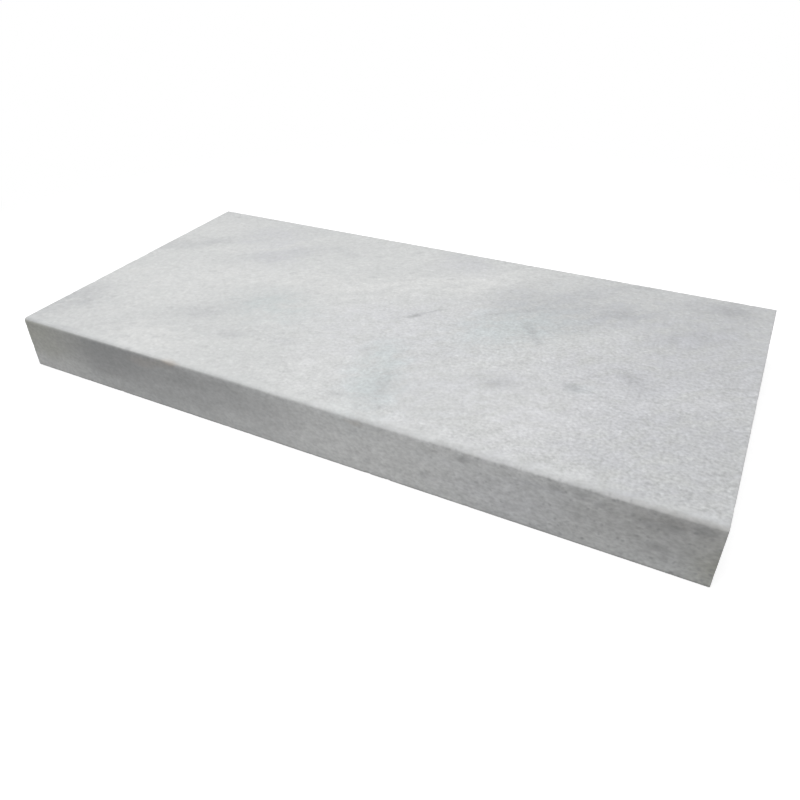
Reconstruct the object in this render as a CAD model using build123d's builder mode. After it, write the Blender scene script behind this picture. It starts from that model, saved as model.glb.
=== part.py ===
"""Coping stone: one marble slab, sawn to size, that caps the rim of a pool or a low wall.

The slab lies as it is laid, with its bedding face down. X runs along the coping, Y runs from the
exposed front edge to the paving behind, and Z is up. The origin is the centre of the bedding face.
"""

import os

from build123d import *

# Driving dimensions, in millimetres
LENGTH = 610.0  # along the coping, a 24 inch module
WIDTH = 305.0  # from the front face to the back face, a 12 inch module
THICKNESS = 50.0  # from the bedding face to the top, sold as 2 inches
EASED_RADIUS = 4.0  # round on the front top edge, which hands and feet touch
SAWN_ARRIS = 0.6  # small chamfer that takes the sharpness off each saw-cut edge

# The slab: its cross-section, with the eased edge at the front top, drawn out along the length
with BuildPart() as coping_stone:
    with BuildSketch(Plane.YZ) as cross_section:
        Rectangle(WIDTH, THICKNESS, align=(Align.CENTER, Align.MIN))
        front_top_corner = cross_section.vertices().group_by(Axis.Y)[-1].sort_by(Axis.X)[0]
        fillet(front_top_corner, radius=EASED_RADIUS)
    extrude(amount=LENGTH / 2, both=True)

    # Every saw cut leaves a sharp edge, apart from the two lines where the eased round runs out
    eased_round = coping_stone.faces().filter_by(GeomType.CYLINDER)[0]
    run_out_lines = eased_round.edges().filter_by(Axis.X)
    chamfer(coping_stone.edges() - run_out_lines, length=SAWN_ARRIS)

coping_stone.part.label = "coping_stone"

os.makedirs("parts", exist_ok=True)
export_step(coping_stone.part, "parts/coping_stone.step")
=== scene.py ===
"""Coping stone: one sandblasted slab of pale grey marble, lying on its bedding face."""

import math

import bmesh
import bpy
from mathutils import Matrix, Vector


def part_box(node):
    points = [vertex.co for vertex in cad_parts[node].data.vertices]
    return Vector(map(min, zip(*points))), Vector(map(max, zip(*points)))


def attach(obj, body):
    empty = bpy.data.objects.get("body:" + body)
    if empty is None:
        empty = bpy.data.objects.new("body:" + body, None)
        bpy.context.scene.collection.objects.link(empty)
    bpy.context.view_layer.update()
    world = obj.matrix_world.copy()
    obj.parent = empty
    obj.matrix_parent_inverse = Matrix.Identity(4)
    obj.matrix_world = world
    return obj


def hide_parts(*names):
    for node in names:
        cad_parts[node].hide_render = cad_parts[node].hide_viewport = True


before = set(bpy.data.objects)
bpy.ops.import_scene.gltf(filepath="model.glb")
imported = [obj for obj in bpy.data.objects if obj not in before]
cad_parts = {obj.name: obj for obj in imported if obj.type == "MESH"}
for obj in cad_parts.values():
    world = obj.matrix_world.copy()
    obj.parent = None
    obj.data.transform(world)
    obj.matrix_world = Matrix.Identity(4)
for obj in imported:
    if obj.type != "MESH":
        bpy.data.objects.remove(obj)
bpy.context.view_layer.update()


# The coping stone
# The real piece is one slab of pale grey, coarsely crystalline marble, gang-sawn from the block and cut
# to size with a diamond blade. Its top is sandblasted, its front face is rubbed smooth, the front top
# edge is eased round by hand, and every other edge keeps the fine arris that the saw leaves.
low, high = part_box("coping_stone")
LENGTH, WIDTH, THICKNESS = high - low
ALONG, ACROSS, UP = range(3)

bpy.ops.object.select_all(action="DESELECT")
bpy.ops.mesh.primitive_cube_add(size=1.0, location=(low + high) / 2)
slab = bpy.context.object
slab.name = "marble_slab"
slab.scale = (LENGTH, WIDTH, THICKNESS)
bpy.ops.object.transform_apply(location=True, rotation=True, scale=True)

# The front top edge is rounded first, and then the saw's arris goes round every edge that is still sharp
EASED_RADIUS = 0.004
EASED_STEPS = 8
SAWN_ARRIS = 0.0006
ARRIS_STEPS = 2
ROUND_PROFILE = 0.5
SHARP_ANGLE = math.radians(60)


def select_edges(wanted):
    """Selects, in edit mode, the slab's edges that pass a test."""
    bpy.ops.mesh.select_mode(type="EDGE")
    bpy.ops.mesh.select_all(action="DESELECT")
    edit_mesh = bmesh.from_edit_mesh(slab.data)
    for edge in edit_mesh.edges:
        if wanted(edge):
            edge.select_set(True)
    bmesh.update_edit_mesh(slab.data)


def middle(edge):
    """The point halfway along an edge."""
    return (edge.verts[0].co + edge.verts[1].co) / 2


def lies_on_top(point):
    """True for a point in the plane of the top."""
    return point.z > high.z - SAWN_ARRIS / 2


def lies_on_front(point):
    """True for a point in the plane of the front face."""
    return point.y < low.y + SAWN_ARRIS / 2


bpy.ops.object.mode_set(mode="EDIT")
select_edges(lambda edge: lies_on_top(middle(edge)) and lies_on_front(middle(edge)))
bpy.ops.mesh.bevel(offset=EASED_RADIUS, segments=EASED_STEPS, profile=ROUND_PROFILE, affect="EDGES")
select_edges(lambda edge: edge.calc_face_angle() > SHARP_ANGLE)
bpy.ops.mesh.bevel(offset=SAWN_ARRIS, segments=ARRIS_STEPS, profile=ROUND_PROFILE, affect="EDGES")

# Easing by hand went a little further down the front at the left-hand end, and further back at the right.
# Each pair is the share of the radius that the round goes back over the top and down the front
EASED_AT_LEFT, EASED_AT_RIGHT = (0.90, 0.95), (1.15, 0.65)
JUST_PAST_ROUND = 1.01 * EASED_RADIUS
bpy.ops.mesh.select_mode(type="VERT")
for right_end, (back_share, down_share) in ((False, EASED_AT_LEFT), (True, EASED_AT_RIGHT)):
    bpy.ops.mesh.select_all(action="DESELECT")
    edit_mesh = bmesh.from_edit_mesh(slab.data)
    for vertex in edit_mesh.verts:
        beside = max(vertex.co.y - low.y, high.z - vertex.co.z)
        if beside < JUST_PAST_ROUND and (vertex.co.x > 0) == right_end:
            vertex.select_set(True)
    bmesh.update_edit_mesh(slab.data)
    bpy.ops.transform.resize(value=(1, back_share, down_share), center_override=(0, low.y, high.z))

# Cuts across, up and along the slab divide every face into cells. Its length is cut into pieces first,
# and each piece then into cells
CELLS_ACROSS = 54
CELLS_UP = 8
CELLS_ALONG = (33, 10)
NEARLY_STRAIGHT = 0.999


def cut_evenly(axis, start, end, cells):
    """Cuts through the whole slab, square to an axis, into cells of one size from start to end."""
    direction = Vector((0, 0, 0))
    direction[axis] = 1
    for number in range(1, cells):
        bpy.ops.mesh.select_all(action="SELECT")
        cut = start + (end - start) * number / cells
        bpy.ops.mesh.bisect(plane_co=cut * direction, plane_no=direction)


def runs_along(edge, axis, at_least):
    """True if an edge runs along an axis and is long enough."""
    step = edge.verts[1].co - edge.verts[0].co
    return abs(step[axis]) > NEARLY_STRAIGHT * step.length and step.length > at_least


flat_start, flat_end = low.y + EASED_RADIUS, high.y - SAWN_ARRIS
cut_evenly(ACROSS, flat_start, flat_end, CELLS_ACROSS)
upright_start, upright_end = low.z + SAWN_ARRIS, high.z - EASED_RADIUS
cut_evenly(UP, upright_start, upright_end, CELLS_UP)
cell_length = LENGTH
for cells in CELLS_ALONG:
    select_edges(lambda edge: runs_along(edge, ALONG, cell_length / 2))
    bpy.ops.mesh.subdivide(number_cuts=cells - 1)
    cell_length = cell_length / cells

# The top and the front, which the light rakes, get two more cuts in every cell, which makes their cells
# about as wide as they are long
EXTRA_CUTS = 2
cell_width = (flat_end - flat_start) / CELLS_ACROSS
select_edges(lambda edge: runs_along(edge, ACROSS, cell_width / 2) and lies_on_top(middle(edge)))
bpy.ops.mesh.subdivide(number_cuts=EXTRA_CUTS, ngon=False)
cell_height = (upright_end - upright_start) / CELLS_UP
select_edges(lambda edge: runs_along(edge, UP, cell_height / 2) and lies_on_front(middle(edge)))
bpy.ops.mesh.subdivide(number_cuts=EXTRA_CUTS, ngon=False)
bpy.ops.object.mode_set(mode="OBJECT")

# Blasting, rubbing and wear sink the surface below its sawn planes. Each fades out over a short way before
# the next face begins
RUN_IN = 0.005
BLASTING_FADES = 4 * EASED_RADIUS
RUBBING_FADES = 2 * EASED_RADIUS
EASING_FADES = 3 * EASED_RADIUS
ARRIS_REACH = 1.2 * SAWN_ARRIS
NICK_BOTTOM, NICK_RIM = 0.20, 0.42
LUMP_DETAIL = 2
SMOOTH_BELOW = math.radians(40)


def ramp(value, start, end):
    """Goes evenly from 0 at start to 1 at end."""
    return min(1.0, max(0.0, (value - start) / (end - start)))


def inset(place):
    """How far a point lies in from the nearer end, from the front or back, and from the top or underside."""
    return [min(place[axis] - low[axis], high[axis] - place[axis]) for axis in (ALONG, ACROSS, UP)]


def top_weight(place):
    """The blasted top, which runs out smoothly before the eased edge and stops short of the arrises."""
    if not lies_on_top(place):
        return 0.0
    behind_edge = ramp(place.y, low.y + EASED_RADIUS, low.y + BLASTING_FADES)
    return behind_edge * ramp(min(inset(place)[ALONG], high.y - place.y), SAWN_ARRIS, RUN_IN)


def front_weight(place):
    """The rubbed front face, up to where the eased edge begins."""
    if not lies_on_front(place):
        return 0.0
    below_edge = ramp(high.z - EASED_RADIUS - place.z, 0, RUBBING_FADES)
    return below_edge * ramp(min(inset(place)[ALONG], place.z - low.z), SAWN_ARRIS, RUN_IN)


def eased_weight(place):
    """The eased edge, with a little of the top and of the front on either side of it."""
    beside = max(place.y - low.y, high.z - place.z)
    return ramp(beside, EASING_FADES, EASED_RADIUS) * ramp(inset(place)[ALONG], SAWN_ARRIS, RUN_IN)


def arris_weight(place):
    """The arrises that the saw left: places close to two of the slab's faces at once."""
    second_nearest = sorted(inset(place))[1]
    return 1.0 if second_nearest < ARRIS_REACH else 0.0


def paint_group(name, weight_at):
    """Makes a vertex group whose weights come from a formula of the place on the slab."""
    group = slab.vertex_groups.new(name=name)
    for vertex in slab.data.vertices:
        weight = weight_at(vertex.co)
        if weight > 0:
            group.add([vertex.index], weight, "REPLACE")


def sink(name, weight_at, depth, grain, nicks=False):
    """Sinks part of the surface below its sawn plane by up to a depth, all over or only in nicks."""
    paint_group(name, weight_at)
    pattern = bpy.data.textures.new(name, type="CLOUDS")
    pattern.noise_scale = grain
    pattern.noise_depth = LUMP_DETAIL
    if nicks:
        pattern.use_color_ramp = True
        deepest, untouched = pattern.color_ramp.elements
        deepest.color, untouched.color = (0, 0, 0, 1), (1, 1, 1, 1)
        deepest.position, untouched.position = NICK_BOTTOM, NICK_RIM
    modifier = slab.modifiers.new(name, "DISPLACE")
    modifier.texture = pattern
    modifier.texture_coords = "LOCAL"
    modifier.direction = "NORMAL"
    modifier.vertex_group = name
    modifier.mid_level = 1.0
    modifier.strength = depth
    bpy.ops.object.modifier_apply(modifier=name)


sink("slow_hollows", top_weight, depth=0.0005, grain=0.070)
sink("sandblasted_grit", top_weight, depth=0.0002, grain=0.0045)
sink("rubbed_waves", front_weight, depth=0.0003, grain=0.030)
sink("hand_eased_waves", eased_weight, depth=0.00008, grain=0.030)
sink("eased_edge_nicks", eased_weight, depth=0.00012, grain=0.006, nicks=True)
sink("saw_arris_nicks", arris_weight, depth=0.0004, grain=0.008, nicks=True)
bpy.ops.object.shade_smooth_by_angle(angle=SMOOTH_BELOW)

# Marble runs through the whole slab, so its pattern follows the slab's own coordinates in metres: along it
# from left to right, across it from front to back, and upward from the bedding face
marble = bpy.data.materials.new("sandblasted_marble")


def empty_nodes(finish):
    """Gives a material or the studio a node tree with nothing in it."""
    finish.use_nodes = True
    finish.node_tree.nodes.clear()
    return finish.node_tree


tree = empty_nodes(marble)


def shading(kind, values, **settings):
    """Adds a shading node. Values go to its sockets, as numbers, colours or other nodes' outputs."""
    node = tree.nodes.new("ShaderNode" + kind)
    for name, setting in settings.items():
        setattr(node, name, setting)
    for name, value in values.items():
        if isinstance(value, bpy.types.NodeSocket):
            tree.links.new(value, node.inputs[name])
        else:
            node.inputs[name].default_value = value
    return node


def maths(operation, first, second):
    """One sum on two numbers or node outputs."""
    return shading("Math", {0: first, 1: second}, operation=operation).outputs[0]


def times(*shares):
    """The product of several shares."""
    product = shares[0]
    for share in shares[1:]:
        product = maths("MULTIPLY", product, share)
    return product


def between(value, start, end, to=(0.0, 1.0), smooth=True):
    """Takes a value's range from start to end to another range, with soft ends."""
    interpolation = "SMOOTHSTEP" if smooth else "LINEAR"
    limits = {"Value": value, "From Min": start, "From Max": end, "To Min": to[0], "To Max": to[1]}
    return shading("MapRange", limits, interpolation_type=interpolation).outputs["Result"]


def blended(share, first, second):
    """A number that goes from the first to the second by a share from 0 to 1."""
    return shading("Mix", {0: share, 2: first, 3: second}).outputs[0]


def tinted(share, first, second):
    """A colour that goes from the first to the second by a share from 0 to 1."""
    return shading("Mix", {0: share, 6: first, 7: second}, data_type="RGBA").outputs[2]


def noise(vector, size, detail, roughness=0.5, output="Fac"):
    """Cloudy noise whose largest lumps have a size in metres."""
    values = {"Vector": vector, "Scale": 1 / size, "Detail": detail, "Roughness": roughness}
    return shading("TexNoise", values).outputs[output]


def shifted(vector, size, reach):
    """Coordinates pushed about by noise, so that what is drawn on them wanders."""
    pushes = noise(vector, size, detail=2, output="Color")
    centred = shading("VectorMath", {0: pushes, 1: (0.5, 0.5, 0.5)}, operation="SUBTRACT").outputs[0]
    reached = shading("VectorMath", {0: centred, "Scale": reach}, operation="SCALE").outputs[0]
    return shading("VectorMath", {0: vector, 1: reached}, operation="ADD").outputs[0]


def laid_out(vector, reach, turn=(0, 0, 0), centre=(0, 0, 0)):
    """Coordinates about a centre, turned by angles in degrees and measured in a reach along each axis."""
    angles = [math.radians(angle) for angle in turn]
    values = {"Vector": vector, "Location": centre, "Rotation": angles, "Scale": reach}
    return shading("Mapping", values, vector_type="TEXTURE").outputs[0]


place = shading("TexCoord", {}).outputs["Object"]
along, across, upward = shading("SeparateXYZ", {"Vector": place}).outputs

# The beds of the marble: thin grey layers that dip through the slab, so that they show as broad diagonal
# clouds on the top and as long fine streaks on the front
BED_DIP, BED_STRIKE = -20, 35
BED_TURN = (BED_DIP, 0, BED_STRIKE)
BED_SIZE = (0.150, 0.060, 0.014)
GREY_BEDS, GREY_AMOUNT = (0.50, 0.80), 0.40
WHITE_BEDS, WHITE_AMOUNT = (0.50, 0.20), 0.60
PALE = (0.672, 0.681, 0.679, 1)
WHITE = (0.734, 0.738, 0.733, 1)
GREY = (0.520, 0.528, 0.540, 1)
BLUE_GREY = (0.480, 0.490, 0.512, 1)
TEAL = (0.586, 0.641, 0.642, 1)
LAVENDER = (0.622, 0.626, 0.656, 1)
PALE_LAVENDER = (0.680, 0.684, 0.712, 1)

folded = shifted(place, size=0.090, reach=0.030)
bed_tone = noise(laid_out(folded, BED_SIZE, BED_TURN), size=1.0, detail=6, roughness=0.60)
stone = tinted(between(bed_tone, *GREY_BEDS, to=(0, GREY_AMOUNT)), PALE, GREY)
stone = tinted(between(bed_tone, *WHITE_BEDS, to=(0, WHITE_AMOUNT)), stone, WHITE)

# Clouds: patches of greyer or whiter stone, with edges that the beds and a finer mottle fray
MOTTLE_SIZE = (0.022, 0.010, 0.008)
USUAL_TONES = (0.30, 0.70)
BED_FRAYING, MOTTLE_FRAYING = (0.6, 1.4), (0.4, 1.6)
CLOUD_RIM, CLOUD_HEART = 0.05, 1.10
CLOUD_DEPTH = 0.060
frayed = shifted(shifted(place, size=0.040, reach=0.024), size=0.010, reach=0.007)
mottle = noise(laid_out(frayed, MOTTLE_SIZE, BED_TURN), size=1.0, detail=3, roughness=0.6)
streaked = between(bed_tone, *USUAL_TONES, to=BED_FRAYING, smooth=False)
mottled = between(mottle, *USUAL_TONES, to=MOTTLE_FRAYING, smooth=False)
ragged = times(streaked, mottled)


def spot(vector, centre, reach, turn=(0, 0, 0)):
    """A spot that is 1 at its centre and falls evenly to 0 at its reach along each axis."""
    local = laid_out(vector, reach, turn, centre)
    return shading("TexGradient", {"Vector": local}, gradient_type="SPHERICAL").outputs["Fac"]


def cloud(centre, reach, turn, fraying):
    """A large soft spot in the stone, with a frayed edge."""
    return between(times(spot(frayed, centre, reach, turn), fraying), CLOUD_RIM, CLOUD_HEART)


# Where the middle of each cloud lies on the top, its reach along and across, its turn in degrees from the
# slab's length, its colour and how much of it shows
TOP_CLOUDS = (
    ((0.165, 0.078), (0.190, 0.090), 25, BLUE_GREY, 0.65),
    ((0.290, 0.020), (0.210, 0.140), 80, GREY, 0.58),
    ((0.285, -0.088), (0.120, 0.080), 60, GREY, 0.40),
    ((0.188, 0.088), (0.060, 0.026), 35, BLUE_GREY, 0.60),
    ((0.105, 0.060), (0.070, 0.016), 38, BLUE_GREY, 0.30),
    ((0.085, 0.082), (0.055, 0.045), 60, BLUE_GREY, 0.36),
    ((0.270, 0.134), (0.080, 0.045), 20, GREY, 0.90),
    ((0.182, 0.143), (0.050, 0.020), 0, GREY, 0.30),
    ((0.296, -0.125), (0.080, 0.060), 60, GREY, 0.30),
    ((-0.296, -0.142), (0.040, 0.022), 20, GREY, 0.35),
    ((-0.265, -0.150), (0.055, 0.006), 0, GREY, 0.50),
    ((0.240, 0.062), (0.075, 0.030), 30, BLUE_GREY, 0.52),
    ((0.217, -0.015), (0.050, 0.020), -40, GREY, 0.46),
    ((0.187, -0.047), (0.020, 0.014), 20, TEAL, 0.90),
    ((0.127, -0.062), (0.042, 0.018), 20, GREY, 0.42),
    ((0.215, -0.120), (0.060, 0.026), -20, GREY, 0.56),
    ((0.047, -0.118), (0.055, 0.018), -80, GREY, 0.40),
    ((-0.135, -0.045), (0.110, 0.052), 45, GREY, 0.32),
    ((-0.165, -0.074), (0.036, 0.016), 35, GREY, 0.20),
    ((-0.060, -0.078), (0.024, 0.012), 20, GREY, 0.30),
    ((-0.105, -0.092), (0.022, 0.012), 20, GREY, 0.30),
    ((-0.294, -0.094), (0.058, 0.042), 60, GREY, 0.62),
    ((-0.230, 0.145), (0.190, 0.060), 0, GREY, 0.20),
    ((-0.255, -0.112), (0.085, 0.050), 20, GREY, 0.22),
    ((-0.280, 0.052), (0.080, 0.024), 35, GREY, 0.48),
    ((-0.180, 0.060), (0.100, 0.028), 35, GREY, 0.32),
    ((-0.107, 0.104), (0.032, 0.020), -20, GREY, 0.42),
    ((0.020, 0.140), (0.042, 0.026), 0, GREY, 0.30),
    ((-0.055, 0.002), (0.040, 0.010), 25, GREY, 0.15),
    ((-0.005, 0.062), (0.150, 0.042), 27, WHITE, 0.70),
    ((-0.115, 0.030), (0.120, 0.040), 10, WHITE, 0.60),
    ((0.060, 0.107), (0.080, 0.032), 55, WHITE, 0.55),
    ((-0.225, -0.030), (0.100, 0.060), 30, WHITE, 0.55),
    ((-0.170, -0.130), (0.080, 0.045), 0, WHITE, 0.75),
    ((-0.175, 0.002), (0.070, 0.045), 20, WHITE, 0.40),
    ((0.058, 0.038), (0.036, 0.024), 35, WHITE, 0.55),
    ((-0.035, 0.008), (0.080, 0.040), 20, WHITE, 0.45),
    ((-0.010, -0.100), (0.080, 0.060), 60, WHITE, 0.60),
    ((0.165, -0.095), (0.095, 0.065), 60, WHITE, 0.90),
    ((0.060, -0.142), (0.060, 0.020), 0, WHITE, 0.40),
    ((-0.240, 0.018), (0.050, 0.022), 30, WHITE, 0.35),
    ((-0.090, -0.062), (0.026, 0.012), 10, WHITE, 0.50),
    ((0.150, -0.005), (0.075, 0.018), 55, WHITE, 0.50),
    ((0.265, -0.025), (0.075, 0.017), 35, WHITE, 0.42),
    ((0.302, 0.055), (0.034, 0.034), 0, GREY, 0.35),
    ((0.175, 0.022), (0.090, 0.034), 45, PALE, 0.76),
    ((-0.185, 0.085), (0.095, 0.060), -50, LAVENDER, 0.40),
    ((0.020, 0.125), (0.055, 0.045), 0, LAVENDER, 0.40),
    ((0.220, -0.040), (0.260, 0.150), 60, LAVENDER, 0.55),
    ((0.030, -0.010), (0.160, 0.090), 25, PALE_LAVENDER, 0.55),
    ((0.060, -0.100), (0.140, 0.070), 10, PALE_LAVENDER, 0.45),
    ((0.108, 0.024), (0.095, 0.058), 35, TEAL, 0.48),
    ((-0.112, -0.030), (0.070, 0.050), 0, TEAL, 0.44),
    ((0.038, -0.098), (0.090, 0.038), -75, TEAL, 0.55),
)
for (cloud_x, cloud_y), (reach_along, reach_across), turn, colour, amount in TOP_CLOUDS:
    reach = (reach_along, reach_across, CLOUD_DEPTH)
    share = cloud((cloud_x, cloud_y, high.z), reach, (0, 0, turn), ragged)
    stone = tinted(times(share, amount), stone, colour)

# The front has clouds of its own, which reach back over the eased edge, a little at the left and further at
# the right. They are partly the stone's own tone and partly painted light: the darker clouds towards both
# ends are partly painted shade, the paler ones along the bottom are partly painted bounce light from the
# floor, and where the front's darker tone reaches over the eased edge it is partly painted shade on the
# rounding. In the same way: along and up, reach along and up, rise in degrees, colour and amount
FRONT_WIDENS = (0.05, 0.28)
OVER_EDGE_AT_LEFT, OVER_EDGE_AT_RIGHT = 0.0013, 0.0045
FRONT_SKIN = 0.0001
FRONT_FRAYING = (0.8, 1.2)
DARK_GREY = (0.360, 0.365, 0.368, 1)
BROWN_GREY = (0.450, 0.445, 0.435, 1)
OLIVE_GREY = (0.520, 0.522, 0.470, 1)
# How far the front's colours reach back over the eased edge; on the rounding they are partly painted shade
over_edge = between(along, *FRONT_WIDENS, to=(low.y + OVER_EDGE_AT_LEFT, low.y + OVER_EDGE_AT_RIGHT))
on_front = between(across, over_edge, low.y + FRONT_SKIN)
softly_streaked = between(bed_tone, *USUAL_TONES, to=FRONT_FRAYING, smooth=False)
FRONT_CLOUDS_AND_PAINTED_LIGHT = (
    ((-0.210, 0.044), (0.200, 0.056), 0, DARK_GREY, 0.90),
    ((-0.095, 0.034), (0.220, 0.056), 0, DARK_GREY, 0.58),
    ((-0.300, 0.036), (0.090, 0.066), 0, OLIVE_GREY, 0.95),
    ((0.285, 0.044), (0.120, 0.044), 10, BROWN_GREY, 0.80),
    ((-0.163, 0.020), (0.050, 0.020), 0, DARK_GREY, 0.22),
    ((-0.033, 0.030), (0.060, 0.030), 0, DARK_GREY, 0.32),
    ((-0.100, 0.003), (0.070, 0.016), 0, WHITE, 0.35),
    ((-0.100, 0.046), (0.060, 0.006), 0, WHITE, 0.25),
    ((0.125, 0.048), (0.110, 0.010), -2, WHITE, 0.50),
    ((0.235, 0.046), (0.130, 0.010), 0, WHITE, 0.45),
    ((-0.300, -0.006), (0.170, 0.036), 0, WHITE, 0.95),
    ((-0.300, 0.002), (0.044, 0.018), 0, WHITE, 0.95),
    ((0.303, 0.014), (0.026, 0.044), 0, OLIVE_GREY, 0.85),
    ((0.055, 0.018), (0.180, 0.060), 0, WHITE, 0.75),
    ((0.227, 0.008), (0.060, 0.018), 0, WHITE, 0.35),
    ((0.160, 0.005), (0.060, 0.014), 0, WHITE, 0.35),
    ((0.165, 0.016), (0.070, 0.040), 0, LAVENDER, 0.40),
)
# Each cloud paints the stone's tone, and some also paint shade or bounce light on the front
for (cloud_x, cloud_z), (reach_along, reach_up), rise, colour, amount in FRONT_CLOUDS_AND_PAINTED_LIGHT:
    reach = (reach_along, CLOUD_DEPTH, reach_up)
    share = cloud((cloud_x, low.y, cloud_z), reach, (0, -rise, 0), softly_streaked)
    stone = tinted(times(share, on_front, amount), stone, colour)

# One dark vein runs up the middle of the top: a short lens, with hairlines beyond it. Faint knots lie to its
# right, and small flecks by the front edge: along and across, reach, turn in degrees and amount
DARK_VEIN = (0.330, 0.335, 0.345, 1)
VEIN_DEPTH = 0.020
KNOT_HEART = 0.9
wavering = shifted(place, size=0.009, reach=0.006)


def knot(centre, reach, turn=(0, 0, 0)):
    """A small soft spot with a wavering edge."""
    return between(spot(wavering, centre, reach, turn), 0.0, KNOT_HEART)


VEIN_PARTS = (
    ((0.0220, 0.0080), (0.0140, 0.0048), 53, 0.45),
    ((0.0350, 0.0235), (0.0160, 0.0024), 46, 0.32),
    ((0.0870, 0.0425), (0.0280, 0.0026), 36, 0.17),
    ((0.1130, 0.0620), (0.0140, 0.0032), 40, 0.22),
    ((0.1280, 0.0735), (0.0090, 0.0034), 36, 0.22),
    ((0.1800, -0.0450), (0.0110, 0.0090), 20, 0.34),
    ((0.2180, -0.0160), (0.0230, 0.0110), -40, 0.23),
    ((0.1210, 0.0285), (0.0170, 0.0075), -50, 0.32),
    ((0.1335, 0.0110), (0.0160, 0.0060), -60, 0.27),
    ((0.1270, -0.0640), (0.0180, 0.0110), 20, 0.20),
    ((0.0470, -0.1020), (0.0260, 0.0110), -80, 0.18),
    ((0.1880, 0.0880), (0.0200, 0.0110), 35, 0.17),
    ((0.2720, 0.1320), (0.0240, 0.0140), 25, 0.24),
    ((0.1900, 0.1480), (0.0220, 0.0050), 5, 0.16),
    ((0.0220, -0.1320), (0.0090, 0.0050), 20, 0.22),
    ((0.0620, -0.1320), (0.0090, 0.0050), 20, 0.22),
    ((0.0450, -0.1400), (0.0080, 0.0050), -60, 0.14),
)
for (vein_x, vein_y), (reach_along, reach_across), turn, amount in VEIN_PARTS:
    dark = knot((vein_x, vein_y, high.z), (reach_along, reach_across, VEIN_DEPTH), (0, 0, turn))
    stone = tinted(times(dark, amount), stone, DARK_VEIN)

# Short dark flecks, a few millimetres long, lie here and there along the beds
FLECK_SPACING = (0.034, 0.014, 0.014)
FLECK_RIM, FLECK_HEART = 0.22, 0.06
FLECK_AMOUNT = 0.16


def scattered(vector, spacing):
    """Points scattered through the stone at about a spacing in metres, each with a cell of stone round it."""
    return shading("TexVoronoi", {"Vector": vector, "Scale": 1 / spacing}, voronoi_dimensions="3D").outputs


flecks = scattered(laid_out(wavering, FLECK_SPACING, BED_TURN), spacing=1.0)
fleck = between(flecks["Distance"], FLECK_RIM, FLECK_HEART)
stone = tinted(times(fleck, FLECK_AMOUNT), stone, DARK_VEIN)

# Soft dark specks, a millimetre or two across, that rubbing brings out on the front, most at the right
SPECK_SPACING = 0.006
SPECK_RIM, SPECK_HEART = 0.32, 0.04
MORE_SPECKS = (0.0, 0.27)
SPECKS_AT_LEFT, SPECKS_AT_RIGHT = 0.10, 0.50
speck = between(scattered(wavering, SPECK_SPACING)["Distance"], SPECK_RIM, SPECK_HEART)
speck_amount = between(along, *MORE_SPECKS, to=(SPECKS_AT_LEFT, SPECKS_AT_RIGHT))
stone = tinted(times(speck, on_front, speck_amount), stone, DARK_VEIN)

# Larger soft knots on the front, most of them close under the eased edge: along and up, reach and amount
FRONT_KNOTS = (
    ((0.203, 0.0415), (0.0100, 0.0050), 0.45),
    ((0.219, 0.0420), (0.0070, 0.0060), 0.38),
    ((0.231, 0.0398), (0.0070, 0.0050), 0.38),
    ((0.262, 0.0360), (0.0120, 0.0050), 0.32),
    ((0.277, 0.0370), (0.0100, 0.0060), 0.38),
    ((0.292, 0.0440), (0.0100, 0.0060), 0.45),
    ((0.270, 0.0200), (0.0100, 0.0060), 0.32),
    ((0.136, 0.0420), (0.0080, 0.0050), 0.38),
    ((0.107, 0.0160), (0.0060, 0.0070), 0.28),
    ((0.050, 0.0440), (0.0140, 0.0040), 0.14),
)
for (knot_x, knot_z), (reach_along, reach_up), amount in FRONT_KNOTS:
    dark = knot((knot_x, low.y, knot_z), (reach_along, VEIN_DEPTH, reach_up))
    stone = tinted(times(dark, on_front, amount), stone, DARK_VEIN)

# A rust stain on the eased edge, with fainter ones under and beside it, and painted shade along the bottom
# arris of the front, where the stone meets the floor, which the left-hand end is free of
RUST = (0.560, 0.455, 0.360, 1)
STAIN_HEART = 0.8
PAINTED_SHADE = (0.330, 0.330, 0.325, 1)
PAINTED_SHADE_AMOUNT = 0.45
PAINTED_SHADE_RIM, PAINTED_SHADE_HEART = 0.0022, 0.0004
PAINTED_SHADE_STARTS = (-0.30, -0.24)
STAINS = (
    ((-0.128, low.y, 0.0485), (0.014, 0.006, 0.0040), 0.34),
    ((-0.140, low.y, 0.0445), (0.020, 0.006, 0.0050), 0.12),
    ((-0.160, low.y, 0.0410), (0.024, 0.006, 0.0070), 0.12),
    ((0.050, low.y, 0.0450), (0.012, 0.006, 0.0040), 0.14),
)
for centre, reach, amount in STAINS:
    stain = between(spot(wavering, centre, reach), 0.0, STAIN_HEART)
    stone = tinted(times(stain, amount), stone, RUST)
# Painted shade: the front is darkened along its bottom arris, where it meets the floor
low_down = between(upward, low.z + PAINTED_SHADE_RIM, low.z + PAINTED_SHADE_HEART)
painted_shade_share = times(on_front, low_down, between(along, *PAINTED_SHADE_STARTS))
stone = tinted(times(painted_shade_share, PAINTED_SHADE_AMOUNT), stone, PAINTED_SHADE)

# Crystals: each grain of the marble is a little lighter or darker than its neighbours. They are finest at the
# right and the front of the slab and stand out most there, apart from the rubbed strip along the eased edge
# and one quiet patch
CRYSTAL = 0.0026
COARSE_CRYSTAL = 0.0038
FINER_TO_RIGHT, FINE_AT_LEFT = (-0.30, 0.15), 0.25
COARSER_TO_BACK, FINE_AT_BACK = (0.0, 0.15), 0.5
FRONT_CRYSTAL = (0.0034, 0.0026, 0.0023)
fine_grain = noise(place, CRYSTAL, detail=1)
coarse_grain = noise(place, COARSE_CRYSTAL, detail=1)
fine_to_right = between(along, *FINER_TO_RIGHT, to=(FINE_AT_LEFT, 1.0))
fineness = times(fine_to_right, between(across, *COARSER_TO_BACK, to=(1.0, FINE_AT_BACK)))
front_grain = noise(laid_out(place, FRONT_CRYSTAL), size=1.0, detail=1)
grain = blended(on_front, blended(fineness, coarse_grain, fine_grain), front_grain)

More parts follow.
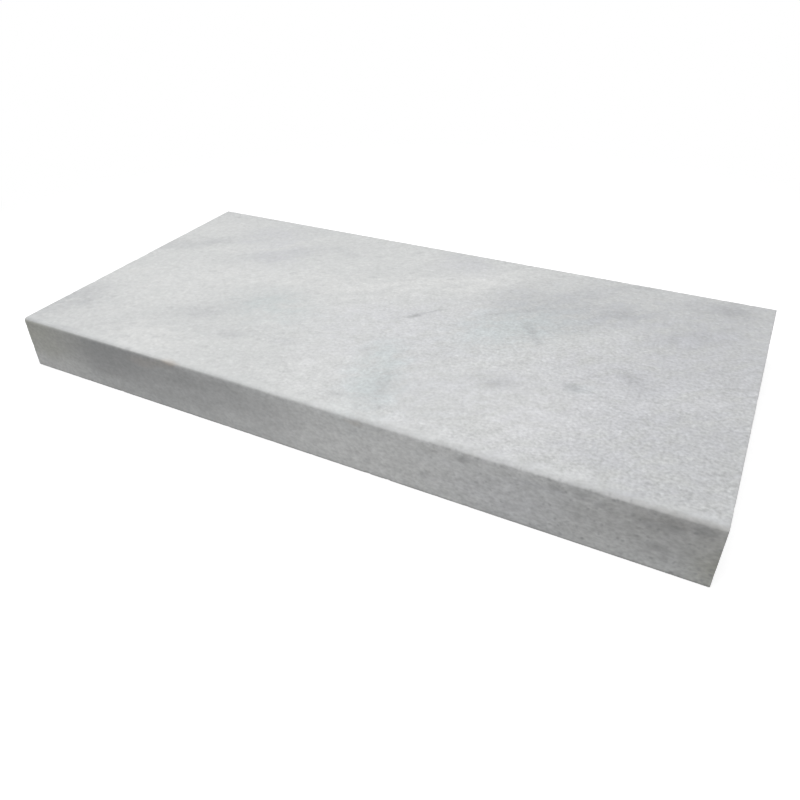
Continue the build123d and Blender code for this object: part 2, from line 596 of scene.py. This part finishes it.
# The finish of a face begins at one depth below it and is full at a smaller one
TOP_SKIN = (0.003, 0.001)
RUBBED_STRIP = (0.012, 0.005)
STRONGER_TO_RIGHT, STRENGTH_AT_LEFT = (-0.25, 0.28), 0.55
WEAKER_TO_BACK, STRENGTH_AT_BACK = (-0.10, 0.12), 0.82
STRENGTH_IN_STRIP = 0.6
QUIET_PLACE, QUIET_REACH, QUIET_TURN = (0.110, -0.095), (0.140, 0.075), 20
QUIET_HEART, STRENGTH_IN_QUIET = 0.6, 0.68
STRENGTH_ON_FRONT = 0.68
on_top = between(upward, high.z - TOP_SKIN[0], high.z - TOP_SKIN[1])
by_the_edge = times(between(across, low.y + RUBBED_STRIP[0], low.y + RUBBED_STRIP[1]), on_top)
quiet = cloud((*QUIET_PLACE, high.z), (*QUIET_REACH, CLOUD_DEPTH), (0, 0, QUIET_TURN), streaked)
strength = times(
    between(along, *STRONGER_TO_RIGHT, to=(STRENGTH_AT_LEFT, 1.0)),
    between(across, *WEAKER_TO_BACK, to=(1.0, STRENGTH_AT_BACK)),
    between(by_the_edge, 0, 1, to=(1.0, STRENGTH_IN_STRIP)),
    between(quiet, 0, QUIET_HEART, to=(1.0, STRENGTH_IN_QUIET)),
)
strength = maths("MAXIMUM", strength, times(on_front, STRENGTH_ON_FRONT))

# Some crystals of the top are painted lighter, as painted glints where they would catch the light
PAINTED_SPARKLE = 0.10
BRIGHTEST = (0.95, 0.98)
GRAIN_CONTRAST = 0.57


def swing(pattern, contrast):
    """A noise as a swing about its middle, by a contrast."""
    return times(maths("SUBTRACT", pattern, 0.5), contrast)


crystal_colours = scattered(place, CRYSTAL)["Color"]
brightness = shading("SeparateColor", {"Color": crystal_colours}).outputs["Red"]
# Painted glints: these crystals are painted lighter in colour, on the top only
painted_glints = times(between(brightness, *BRIGHTEST), between(on_front, 0, 1, to=(PAINTED_SPARKLE, 0)))
grains_and_painted_sparkle = times(maths("ADD", swing(grain, GRAIN_CONTRAST), painted_glints), strength)

# Coarser variation lies under the crystals: bunches of them, the mottle, which grows to the right, and level
# streaks on the front. The strip along the eased edge is a little lighter
CLUSTER = 0.0070
CLUSTER_CONTRAST = 0.17
CLUSTERS_ON_FRONT = 0.6
MOTTLE_CONTRAST = 0.17
MOTTLE_GROWS, MOTTLE_AT_LEFT, MOTTLE_AT_RIGHT = (-0.25, 0.25), 0.15, 2.2
STREAK_SIZE = (0.040, 0.020, 0.006)
STREAK_DIP = 5
STREAK_CONTRAST = 0.13
EDGE_STRIP_LIGHTER = 0.02
clusters = noise(place, CLUSTER, detail=1)
bunches = times(swing(clusters, CLUSTER_CONTRAST), between(on_front, 0, 1, to=(1.0, CLUSTERS_ON_FRONT)))
mottle_growth = between(along, *MOTTLE_GROWS, to=(MOTTLE_AT_LEFT, MOTTLE_AT_RIGHT))
mottling = times(swing(mottle, MOTTLE_CONTRAST), mottle_growth)
streaks = noise(laid_out(frayed, STREAK_SIZE, (0, STREAK_DIP, 0)), size=1.0, detail=3, roughness=0.6)
streaking = times(swing(streaks, STREAK_CONTRAST), on_front)
tone = between(by_the_edge, 0, 1, to=(1.0, 1.0 + EDGE_STRIP_LIGHTER))
for variation in (grains_and_painted_sparkle, bunches, mottling, streaking):
    tone = maths("ADD", tone, variation)
stone = shading("VectorMath", {0: stone, "Scale": tone}, operation="SCALE").outputs[0]

# Relief in metres: the blasted top is pitted between its crystals, and the sawn faces keep the blade's marks
PIT_DEPTH = 0.0005
PITS_BY_EDGE = 0.3
SAW_DEPTH = 0.00006
SAW_PITCH = 0.004
BLADE_LEAN = (1.0, 1.0, 0.45)
SAWN_SKIN = (0.001, 0.0002)
ROUGHNESS_OF_RUBBED, ROUGHNESS_OF_BLASTED = 0.58, 0.82


def saw_marks(distance, face):
    """Fine ridges at the saw's pitch along a distance, on one sawn face."""
    values = {"W": distance, "Scale": 1 / SAW_PITCH, "Detail": 2}
    ridges = shading("TexNoise", values, noise_dimensions="1D").outputs["Fac"]
    return times(ridges, face, SAW_DEPTH)


pits_grow = between(across, low.y + EASED_RADIUS, low.y + BLASTING_FADES, to=(PITS_BY_EDGE, 1.0))
pits = times(grain, times(on_top, pits_grow), PIT_DEPTH)
on_back = between(across, high.y - SAWN_SKIN[0], high.y - SAWN_SKIN[1])
on_ends = between(maths("ABSOLUTE", along, 0), high.x - SAWN_SKIN[0], high.x - SAWN_SKIN[1])
underneath = between(upward, low.z + SAWN_SKIN[0], low.z + SAWN_SKIN[1])
blade_path = shading("VectorMath", {0: place, 1: BLADE_LEAN}, operation="DOT_PRODUCT").outputs["Value"]
blade_marks = saw_marks(blade_path, maths("MAXIMUM", on_back, on_ends))
gang_saw_marks = saw_marks(across, underneath)
height = maths("ADD", pits, maths("ADD", blade_marks, gang_saw_marks))
relief = shading("Bump", {"Height": height, "Strength": 1.0, "Distance": 1.0})
roughness = between(on_top, 0, 1, to=(ROUGHNESS_OF_RUBBED, ROUGHNESS_OF_BLASTED), smooth=False)
body = shading(
    "BsdfPrincipled",
    {
        "Base Color": stone,
        "Roughness": roughness,
        "Diffuse Roughness": 0.5,
        "Normal": relief.outputs["Normal"],
    },
)
shading("OutputMaterial", {"Surface": body.outputs[0]})

slab.data.materials.clear()
slab.data.materials.append(marble)
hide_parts("coping_stone")
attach(slab, "root")


# The floor
# A plain white studio floor that the stone lies on. It takes the stone's soft shadow close by, and further
# off it shows the camera an even white.
FLOOR_SIDE = 12.0
FLOOR_GAP = 0.0002
FLOOR_WHITE = (0.55, 0.55, 0.55, 1)
FLOOR_GLOW = 0.72
PURE_WHITE = (1, 1, 1, 1)
SHADOW_FADES = (0.35, 0.75)

bpy.ops.object.select_all(action="DESELECT")
bpy.ops.mesh.primitive_plane_add(size=FLOOR_SIDE, location=(0, 0, low.z - FLOOR_GAP))
floor = bpy.context.object
floor.name = "studio_floor"
paper = bpy.data.materials.new("white_studio_paper")
tree = empty_nodes(paper)


def looked_at():
    """1 where the floor or the studio is seen, also in a mirror or through glass, and 0 where it lights."""
    ray = shading("LightPath", {}).outputs
    seen_or_mirrored = maths("MAXIMUM", ray["Is Camera Ray"], ray["Is Glossy Ray"])
    return maths("MAXIMUM", seen_or_mirrored, ray["Is Transmission Ray"])


seen = looked_at()
floor_place = shading("TexCoord", {}).outputs["Object"]
distance = shading("VectorMath", {0: floor_place}, operation="LENGTH").outputs["Value"]
far_and_seen = times(between(distance, *SHADOW_FADES), seen)
matte = shading("BsdfDiffuse", {"Color": FLOOR_WHITE}).outputs[0]
glow = shading("Emission", {"Color": PURE_WHITE, "Strength": times(seen, FLOOR_GLOW)}).outputs[0]
near_floor = shading("AddShader", {0: matte, 1: glow}).outputs[0]
far_floor = shading("Emission", {"Color": PURE_WHITE, "Strength": 1.0}).outputs[0]
surface = shading("MixShader", {0: far_and_seen, 1: near_floor, 2: far_floor}).outputs[0]
shading("OutputMaterial", {"Surface": surface})
floor.data.materials.append(paper)


# The studio light
# One large soft box hangs over the stone, a white card stands close in front of it to lift the front face,
# two low panels behind it lift the back and the ends, and the walls of the studio fill the shadows.
AMBIENT = 0.04
BOX_PLACE = Vector((-0.08, -0.18, 1.30))
BOX_SIZE = (1.5, 1.1)
BOX_POWER = 18.9
CARD_PLACE = Vector((0.10, -0.52, 0.12))
CARD_SIZE = (0.24, 0.16)
CARD_POWER = 0.20
PANEL_AT_LEFT, PANEL_AT_RIGHT = Vector((-1.3, 1.15, 0.50)), Vector((1.3, 1.15, 0.50))
PANEL_SIZE = (1.2, 0.8)
PANEL_POWER = 4.2

studio = bpy.data.worlds.new("white_studio")
bpy.context.scene.world = studio
tree = empty_nodes(studio)
wall_light = between(looked_at(), 0, 1, to=(AMBIENT, 1.0), smooth=False)
walls = shading("Background", {"Color": PURE_WHITE, "Strength": wall_light})
shading("OutputWorld", {"Surface": walls.outputs[0]})


def add_soft_light(name, place, size, power):
    """Adds a rectangular soft light that faces the middle of the stone."""
    bpy.ops.object.light_add(type="AREA", location=place)
    lamp = bpy.context.object
    lamp.name = name
    lamp.data.shape = "RECTANGLE"
    lamp.data.size, lamp.data.size_y = size
    lamp.data.energy = power
    lamp.rotation_euler = ((low + high) / 2 - place).to_track_quat("-Z", "Y").to_euler()


add_soft_light("soft_box", BOX_PLACE, BOX_SIZE, BOX_POWER)
add_soft_light("white_card", CARD_PLACE, CARD_SIZE, CARD_POWER)
add_soft_light("left_panel", PANEL_AT_LEFT, PANEL_SIZE, PANEL_POWER)
add_soft_light("right_panel", PANEL_AT_RIGHT, PANEL_SIZE, PANEL_POWER)


# The camera
# It looks down on the front of the stone from the right, through a moderately wide lens. The picture is
# cut a little off the middle of what the lens saw, which the lens shift gives.
AZIMUTH = 30.18
ELEVATION = 35.64
ROLL = -2.32
DISTANCE = 0.6823
AIM_RIGHT, AIM_UP = -0.0159, -0.0495
LENS = 32.46
SHIFT_RIGHT, SHIFT_UP = 0.032, 0.017

azimuth, elevation, roll = (math.radians(angle) for angle in (AZIMUTH, ELEVATION, ROLL))
level = Vector((math.sin(azimuth), -math.cos(azimuth), 0))
back = math.cos(elevation) * level + math.sin(elevation) * Vector((0, 0, 1))
level_right = Vector((0, 0, 1)).cross(back).normalized()
right = math.cos(roll) * level_right + math.sin(roll) * back.cross(level_right)
up = back.cross(right)
bpy.ops.object.camera_add(location=AIM_RIGHT * right + AIM_UP * up + DISTANCE * back)
camera = bpy.context.object
camera.rotation_euler = Matrix((right, up, back)).transposed().to_euler()
camera.data.lens = LENS
camera.data.shift_x, camera.data.shift_y = SHIFT_RIGHT, SHIFT_UP
bpy.context.scene.camera = camera

bpy.context.scene.view_settings.view_transform = "Standard"
